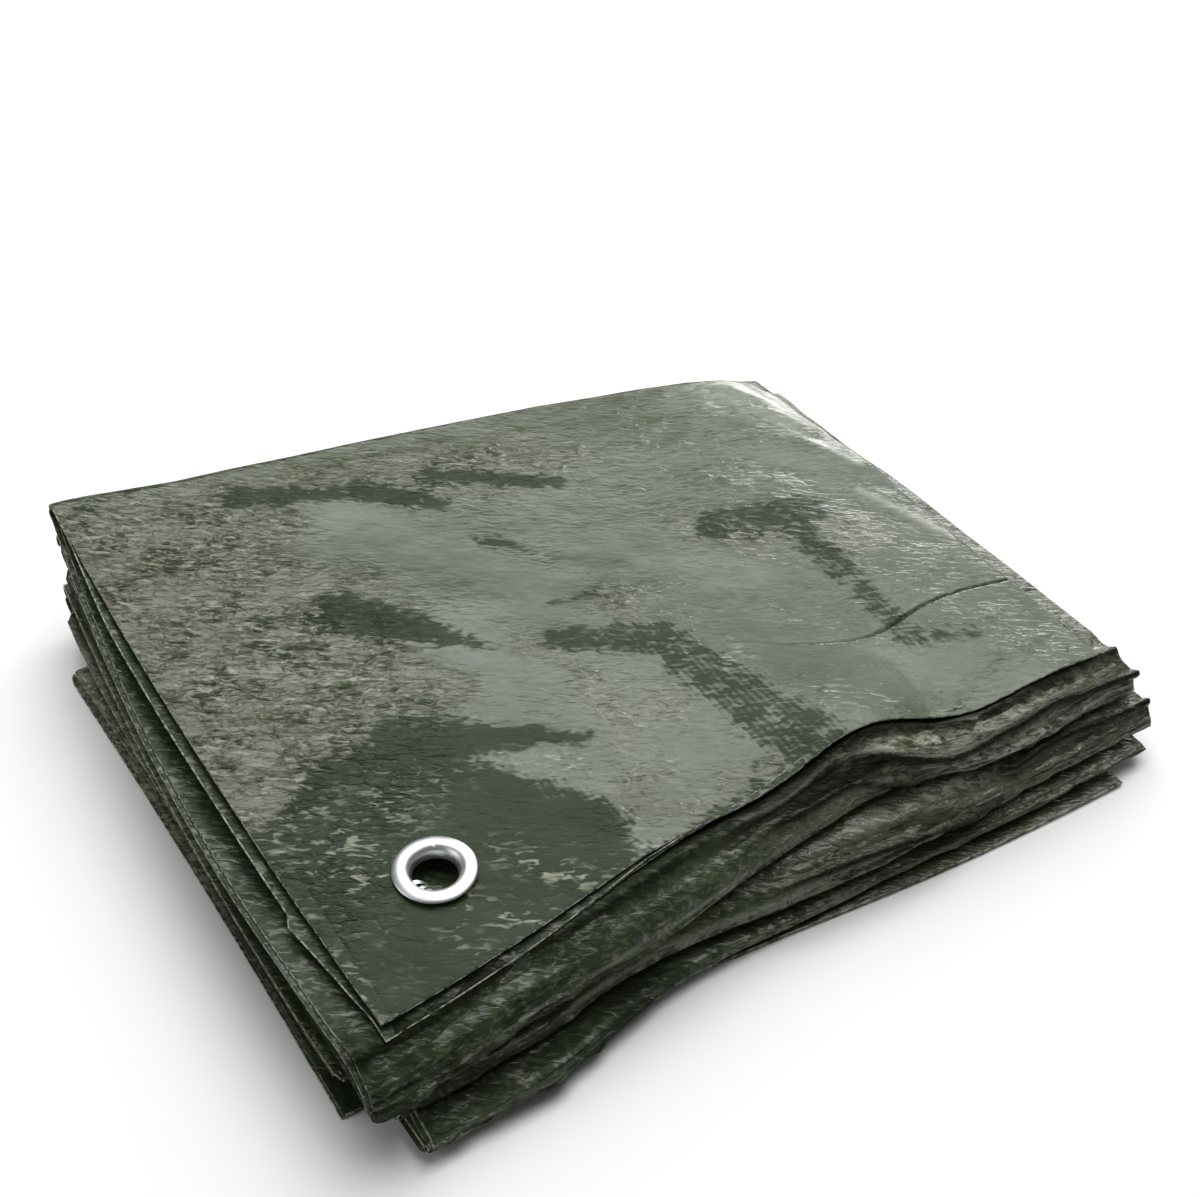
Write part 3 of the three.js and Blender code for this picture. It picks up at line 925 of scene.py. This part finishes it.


# Polyethylene tape woven flat and coated on both sides with a thin film of the same plastic. It looks like
# dark green glossy cloth. Where the film has come loose from the tapes in small creases it turns into a
# pale grey sheen, and where it is rubbed it whitens. The pale grey sheen is painted into the colour, partly
# the film's own haze and partly a painted reflection of the light behind the pack. The whitened places are
# partly wear and partly painted highlights and glints. The tapes are 2.1 mm wide.
# The film's creases are about 0.5 mm apart in the real one, drawn here at 2.2 mm so that they show,
# and drawn out along a line turned 31 degrees from the pack's front edge. Its lumps are 14 mm wide
# and its cloudy places 24 mm.
TAPE_PITCH = 2.1
FILM_CREASE, FILM_DASH, FILM_LUMP, FILM_CLOUD = 2.2, 1.9, 14.3, 24.0
FILM_STRETCH, FILM_TURN = (2.2, 0.85, 1.0), math.radians(-31)
BUMP_HEIGHT = 0.6
TAPE_GREEN, FILM_HAZE_AND_PAINTED_SHEEN, FILM_CREASED = "2F3A28", "414D35", "4E4E3C"
PALE_MARK_WHITE, PAINTED_HIGHLIGHT_WHITE, PAINTED_SHADE_DARK = "A2A694", "C3C8BA", "0B0D08"
FILM_ROUGHNESS, FILM_GLOSS, FILM_GLOSS_LOSS = 0.26, 0.56, -0.46

# The relief, in shares of the bump's height: the small creases where the film is creased and where
# it is plain, the weave, its ribs, and the lumps.
RELIEF_CREASED, RELIEF_PLAIN = 3.4, 0.15
RELIEF_WEAVE, RELIEF_RIBS, RELIEF_LUMPS = 0.02, 0.05, 1.2

# How much the small creases fray a clear patch without painted sheen: along its edge, where the film is
# creased, and in plain film. Then how much creasing, ribs and lumps alone make the film clearer and take
# away the painted sheen.
FRAY_EDGE, FRAY_CREASED, FRAY_PLAIN = 7.0, 3.4, 0.4
CLEARER_CREASED, CLEARER_RIBS, CLEARER_LUMPS = 0.2, 0.6, 0.9

# How the small creases break up the painted highlights.
HIGHLIGHT_SWING, HIGHLIGHT_START = 2.4, -0.25


def coated_tape():
    material, tree, surface = new_material("coated_tape")
    clear, crazed, ribbed, wear_and_painted_highlight, painted_groove_shade, flecked, painted_highlight = (
        add_node(tree, "Attribute", out="Fac", attribute_name=name)
        for name in ("clear", "crazed", "ribbed", "wear_and_painted_highlight", "painted_groove_shade", "flecked", "painted_highlight")
    )
    place = add_node(tree, "TexCoord", out="Object")
    slanted = add_node(
        tree, "Mapping", {"Vector": place, "Rotation": (0, 0, FILM_TURN), "Scale": FILM_STRETCH},
        vector_type="TEXTURE",
    )

    # the weave, from waves across and along the tapes
    turn = math.pi / (TAPE_PITCH * MM)
    x, y, z = (add_node(tree, "SeparateXYZ", (place,), out=axis) for axis in "XYZ")
    folded_y = add_node(tree, "Math", (y, z), operation="ADD")
    waves = [add_node(tree, "Math", (value, turn), operation="MULTIPLY") for value in (x, folded_y)]
    across, along = (add_node(tree, "Math", (wave,), operation="SINE") for wave in waves)
    weave = add_node(tree, "Math", (across, along), operation="MULTIPLY")
    ribs = add_node(tree, "Math", (across, across), operation="MULTIPLY")

    # the film's small creases, dashes, lumps and clouds
    fine, dashes, lumps, clouds = (
        add_node(
            tree, "TexNoise",
            {"Vector": space, "Scale": 1 / (size * MM), "Detail": detail, "Distortion": distortion},
        )
        for space, size, detail, distortion in (
            (slanted, FILM_CREASE, 2.0, 0.7), (slanted, FILM_DASH, 1.0, 0.5),
            (place, FILM_LUMP, 2.0, 0.0), (slanted, FILM_CLOUD, 4.0, 0.0),
        )
    )
    patchy = add_node(
        tree, "MapRange", {0: lumps, "From Min": 0.38, "From Max": 0.62, "To Min": 0.5, "To Max": 1.2}
    )
    creased = add_node(tree, "Math", (crazed, patchy), operation="MULTIPLY")

    # the height of the film
    height = add_node(tree, "Math", (creased, RELIEF_CREASED, RELIEF_PLAIN), operation="MULTIPLY_ADD")
    height = add_node(tree, "Math", (fine, height), operation="MULTIPLY")
    rib_height = add_node(tree, "Math", (ribbed, RELIEF_RIBS), operation="MULTIPLY")
    for value, amount in ((weave, RELIEF_WEAVE), (ribs, rib_height), (lumps, RELIEF_LUMPS)):
        height = add_node(tree, "Math", (value, amount, height), operation="MULTIPLY_ADD")
    bump = add_node(tree, "Bump", {"Height": height, "Distance": BUMP_HEIGHT * MM, "Strength": 1.0})

    # where the dark green shows through and the painted sheen is left out, with a ragged edge along the
    # film's creases
    unclear = add_node(tree, "Math", (1.0, clear), operation="SUBTRACT")
    edge_band = add_node(tree, "Math", (clear, unclear), operation="MULTIPLY")
    ragged = add_node(tree, "Math", (edge_band, FRAY_EDGE, FRAY_PLAIN), operation="MULTIPLY_ADD")
    ragged = add_node(tree, "Math", (creased, FRAY_CREASED, ragged), operation="MULTIPLY_ADD")
    fine_swing, rib_swing, lump_swing = (
        add_node(tree, "Math", (value, 0.5), operation="SUBTRACT") for value in (fine, ribs, lumps)
    )
    rib_amount = add_node(tree, "Math", (ribbed, fine), operation="MULTIPLY")
    rib_amount = add_node(tree, "Math", (rib_amount, CLEARER_RIBS), operation="MULTIPLY")
    parts = (
        (fine_swing, ragged), (creased, CLEARER_CREASED), (rib_swing, rib_amount),
        (lump_swing, CLEARER_LUMPS),
    )
    shown = clear
    for value, amount in parts:
        shown = add_node(tree, "Math", (value, amount, shown), operation="MULTIPLY_ADD")
    sheen_left_out = add_node(
        tree, "MapRange", {0: shown, "From Min": 0.1, "From Max": 0.8}, interpolation_type="SMOOTHSTEP"
    )

    # the colours, from the tapes' green to the whitened film, which carries painted sheen, highlights and
    # glints, and the painted shade of a crease
    flecks_and_glints = add_node(tree, "MapRange", {0: dashes, "From Min": 0.56, "From Max": 0.69, "To Max": 0.85})
    for amount in (flecked, patchy):
        flecks_and_glints = add_node(tree, "Math", (flecks_and_glints, amount), operation="MULTIPLY")
    pale_marks = add_node(tree, "MapRange", {0: fine, "From Min": 0.4, "From Max": 0.6})
    pale_marks = add_node(tree, "Math", (pale_marks, wear_and_painted_highlight), operation="MULTIPLY")
    pale_marks = add_node(tree, "Math", (pale_marks, flecks_and_glints), operation="MAXIMUM")
    broken = add_node(tree, "Math", (fine, HIGHLIGHT_SWING, HIGHLIGHT_START), operation="MULTIPLY_ADD")
    painted_highlight = add_node(tree, "Math", (painted_highlight, broken), operation="MULTIPLY")
    colour = linear(FILM_HAZE_AND_PAINTED_SHEEN)
    coats = (
        (creased, FILM_CREASED), (sheen_left_out, TAPE_GREEN), (pale_marks, PALE_MARK_WHITE), (painted_highlight, PAINTED_HIGHLIGHT_WHITE),
        (painted_groove_shade, PAINTED_SHADE_DARK),
    )
    for amount, coat in coats:
        colour = add_node(tree, "Mix", {0: amount, 6: colour, 7: linear(coat)}, out=2, data_type="RGBA")

    # the gloss, cloudy like the film, low where the painted sheen is left out, and gone in a crease's
    # painted shade
    cloudy = add_node(
        tree, "MapRange", {0: clouds, "From Min": 0.35, "From Max": 0.65, "To Min": 0.72, "To Max": 1.14}
    )
    outside_painted_shade = add_node(tree, "Math", (1.0, painted_groove_shade), operation="SUBTRACT")
    gloss = add_node(tree, "Math", (sheen_left_out, FILM_GLOSS_LOSS, FILM_GLOSS), operation="MULTIPLY_ADD")
    for amount in (cloudy, outside_painted_shade):
        gloss = add_node(tree, "Math", (gloss, amount), operation="MULTIPLY")
    tree.links.new(colour, surface.inputs["Base Color"])
    tree.links.new(gloss, surface.inputs["Specular IOR Level"])
    tree.links.new(bump, surface.inputs["Normal"])
    surface.inputs["Roughness"].default_value = FILM_ROUGHNESS
    return material


# The eyelet: half of its section as radius and height over the sheet, from the bottom of the barrel
# up over the crown to the rolled rim, then back under it.
EYELET_SECTION = [
    (7.3, -3.4), (6.9, -3.3), (6.6, -2.9), (6.5, -2.3), (6.55, -1.6), (6.75, -0.8), (7.1, -0.05),
    (7.55, 0.55), (8.15, 1.0), (8.8, 1.28), (9.4, 1.36), (10.1, 1.24), (10.8, 1.0), (11.4, 0.72),
    (11.8, 0.48), (12.0, 0.2), (11.85, 0.0), (11.5, -0.08), (10.5, 0.05), (9.0, 0.1), (7.9, 0.0),
    (7.4, -1.0), (7.2, -2.8),
]

# The points round the ring, and how far its zero height is below the top of the solid eyelet.
EYELET_SEGMENTS, EYELET_STANDS = 96, 1.45

# The slit pressed in the flange: its angle, the radii between which it lies, the least height that
# it takes in, and its depth.
SLIT = {"angle": 62, "inner": 8.0, "outer": 11.2, "above": 0.5, "depth": 0.3}

# Split tongues of the barrel that were bent into the hole: their angle, length and width, and the
# heights where they start and end. They are bowed upwards and narrow towards their tips.
TONGUES = [
    (176, 4.6, 1.5, -1.8, -4.6),
    (200, 5.2, 1.3, -2.2, -5.2),
    (224, 4.0, 1.6, -2.0, -4.4),
]
TONGUE_ROOT, TONGUE_BOW, TONGUE_TAPER = 7.0, 0.9, 0.6
TONGUE_STEPS = (0.0, 0.35, 0.7, 1.0)


def ring_points(segment):
    """The section's points at one place round the ring."""
    angle = math.tau * segment / EYELET_SEGMENTS
    in_slit = abs(angle - math.radians(SLIT["angle"])) < math.pi / EYELET_SEGMENTS
    points = []
    for radius, height in EYELET_SECTION:
        pressed = in_slit and SLIT["inner"] < radius < SLIT["outer"] and height > SLIT["above"]
        dent = SLIT["depth"] if pressed else 0.0
        points.append(Vector((radius * math.cos(angle), radius * math.sin(angle), height - dent)))
    return points


def tongue_points(degrees, length, width, start, end):
    angle = math.radians(degrees)
    out = Vector((math.cos(angle), math.sin(angle), 0))
    side = Vector((-math.sin(angle), math.cos(angle), 0))
    points = []
    for step in TONGUE_STEPS:
        point = out * (TONGUE_ROOT - length * step)
        point.z = mix(start, end, step) + TONGUE_BOW * math.sin(math.pi * step)
        half = width / 2 * (1 - TONGUE_TAPER * step**2)
        points.extend([point - half * side, point + half * side])
    return points


def build_eyelet(centre):
    """A pressed ring with a slit in its flange and split tongues inside its barrel."""
    points, faces = [], []
    count = len(EYELET_SECTION)
    for segment in range(EYELET_SEGMENTS):
        points.extend(ring_points(segment))
        here, across = segment * count, (segment + 1) % EYELET_SEGMENTS * count
        for place in range(count):
            following = (place + 1) % count
            faces.append((here + place, across + place, across + following, here + following))
    for tongue in TONGUES:
        first = len(points)
        points.extend(tongue_points(*tongue))
        for left in range(first, len(points) - 2, 2):
            faces.append((left, left + 1, left + 3, left + 2))
    return add_piece("eyelet_ring", [tuple(MM * point + centre) for point in points], faces)


# Aluminium sheet, pressed and left bright. It looks like a soft silvery white, a little blurred by
# the press and by wear.
BRIGHT_ALUMINIUM, ALUMINIUM_ROUGHNESS = "E2E5E4", 0.38


def pressed_aluminium():
    material, _, surface = new_material("aluminium")
    surface.inputs["Base Color"].default_value = linear(BRIGHT_ALUMINIUM)
    surface.inputs["Metallic"].default_value = 1.0
    surface.inputs["Roughness"].default_value = ALUMINIUM_ROUGHNESS
    return material


def add_camera(eyelet):
    camera = bpy.data.objects.new("camera", bpy.data.cameras.new("camera"))
    camera.data.lens = CAMERA_LENS
    camera.data.sensor_width = CAMERA_SENSOR
    camera.data.clip_start = CAMERA_NEAR * MM
    camera.location = eyelet + MM * Vector(CAMERA_FROM_EYELET)
    camera.rotation_euler = Vector(CAMERA_FORWARD).to_track_quat("-Z", "Y").to_euler()
    bpy.context.scene.collection.objects.link(camera)
    bpy.context.scene.camera = camera


# Half the floor's width in metres, and its colour.
FLOOR_HALF, FLOOR_WHITE = 3.0, "F4F4F3"


def add_floor():
    """A plain matt pale floor."""
    half = FLOOR_HALF
    corners = [(-half, -half, 0), (half, -half, 0), (half, half, 0), (-half, half, 0)]
    floor = add_piece("floor", corners, [(0, 1, 2, 3)])
    material, _, surface = new_material("floor")
    surface.inputs["Base Color"].default_value = linear(FLOOR_WHITE)
    surface.inputs["Specular IOR Level"].default_value = 0.0
    floor.data.materials.append(material)


# Soft lights: the compass angle and height over the horizon in degrees that each stands at, and its
# distance, the place it shines at, its width and height, and its brightness. The wall gives the film
# its sheen, and the low side light whitens the pack's back right edge.
LIGHTS = {
    "wall": ((36, 38, 1.6), (0, 0, 0), (2.3, 0.68), 1.95),
    "left": ((-78, 24, 1.6), (0, 0, 0), (1.1, 0.9), 1.3),
    "side": ((50, 6, 1.5), (0.1, 0, 0), (0.6, 0.28), 8.0),
    "strip": ((31, 64, 1.6), (0, 0, 0), (1.6, 0.12), 3.5),
    "sky": ((48.4, 70.4, 1.8), (0.1, 0, 0), (2.0, 2.0), 3.1),
}
ROOM_GREY, ROOM_STRENGTH = 0.8, 0.14


def add_light(name, direction, aim, size, brightness):
    """A soft rectangular light, turned to shine at its aim."""
    compass, elevation, distance = direction
    turn, climb = math.radians(compass), math.radians(elevation)
    lamp = bpy.data.lights.new(name, "AREA")
    lamp.shape = "RECTANGLE"
    lamp.size, lamp.size_y = size
    lamp.energy = brightness * math.pi * size[0] * size[1]
    light = bpy.data.objects.new(name, lamp)
    flat = math.cos(climb)
    light.location = distance * Vector((math.sin(turn) * flat, math.cos(turn) * flat, math.sin(climb)))
    light.rotation_euler = (Vector(aim) - light.location).to_track_quat("-Z", "Y").to_euler()
    bpy.context.scene.collection.objects.link(light)


def add_room():
    """The even light that comes from the room."""
    world = bpy.data.worlds.new("studio")
    world.use_nodes = True
    background = world.node_tree.nodes["Background"]
    background.inputs["Color"].default_value = (ROOM_GREY, ROOM_GREY, ROOM_GREY, 1)
    background.inputs["Strength"].default_value = ROOM_STRENGTH
    bpy.context.scene.world = world


low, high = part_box("eyelet")
eyelet_middle = (low + high) / 2
add_camera(eyelet_middle)

sheet = build_sheet(np.array([eyelet_middle.x / MM, eyelet_middle.y / MM, 0.0]))
sheet.data.materials.append(coated_tape())
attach(sheet, "root")
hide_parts("groundsheet", "eyelet_hem")

aluminium = pressed_aluminium()
ring = build_eyelet(Vector((eyelet_middle.x, eyelet_middle.y, high.z - EYELET_STANDS * MM)))
ring.data.materials.append(aluminium)
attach(ring, "root")
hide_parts("eyelet")
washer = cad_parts["eyelet_washer"]
washer.data.materials.clear()
washer.data.materials.append(aluminium)

add_floor()
for name, light in LIGHTS.items():
    add_light(name, *light)
add_room()
bpy.context.scene.view_settings.view_transform = "Standard"
